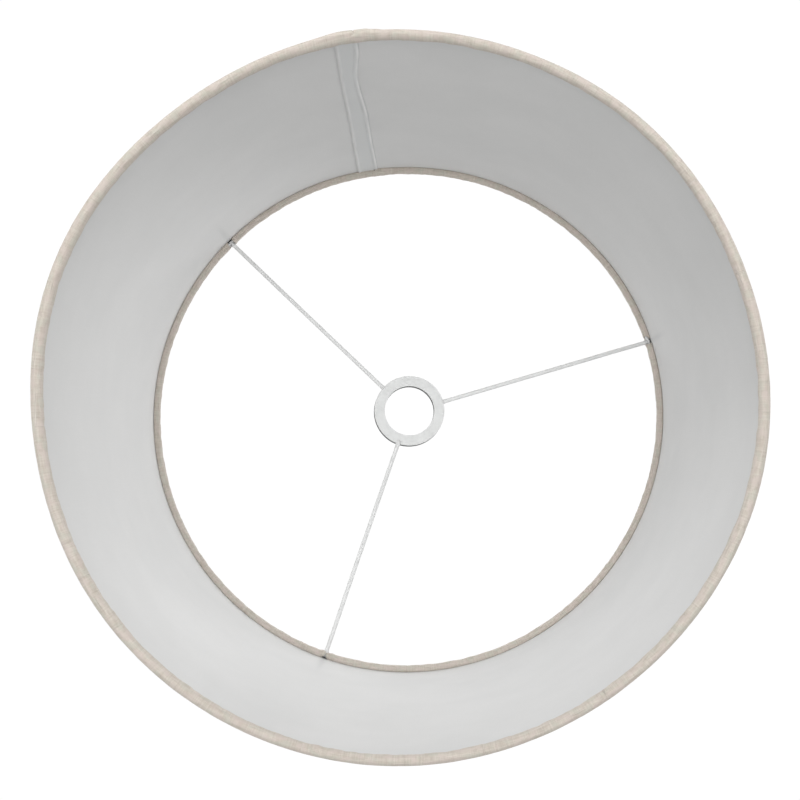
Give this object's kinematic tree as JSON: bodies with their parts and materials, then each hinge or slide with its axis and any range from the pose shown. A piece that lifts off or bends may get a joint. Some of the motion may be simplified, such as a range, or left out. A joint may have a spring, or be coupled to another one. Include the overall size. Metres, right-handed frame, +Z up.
{
  "type": "lamp shade",
  "caption": "Round drum lamp shade: natural linen over a white plastic lining, rolled over wire rings, with a flush wire spider fitter and a flat hub ring.",
  "frame": {"origin": "centre of the open lower rim, at the level the shade stands on", "axes": "+Z up along the drum's axis, from the open lower rim to the fitter end; +Y towards the panel's seam, which is the back of the shade; +X to the right seen from the front"},
  "size_m": [0.4, 0.4, 0.25],
  "materials": {
    "linen": "matte natural linen, plain weave with slubs",
    "lining": "satin white PVC sheet",
    "seam_adhesive": "translucent adhesive tape",
    "wire": "white powder coat on steel wire",
    "hub": "white powder coat on pressed steel"
  },
  "bodies": {
    "root": {"linen_cover": "linen", "lining_panel": "lining", "seam_tape": "seam_adhesive", "lower_ring": "wire", "upper_ring": "wire", "spider_arm_1": "wire", "spider_arm_2": "wire", "spider_arm_3": "wire", "hub_ring": "hub"}
  },
  "joints": []
}
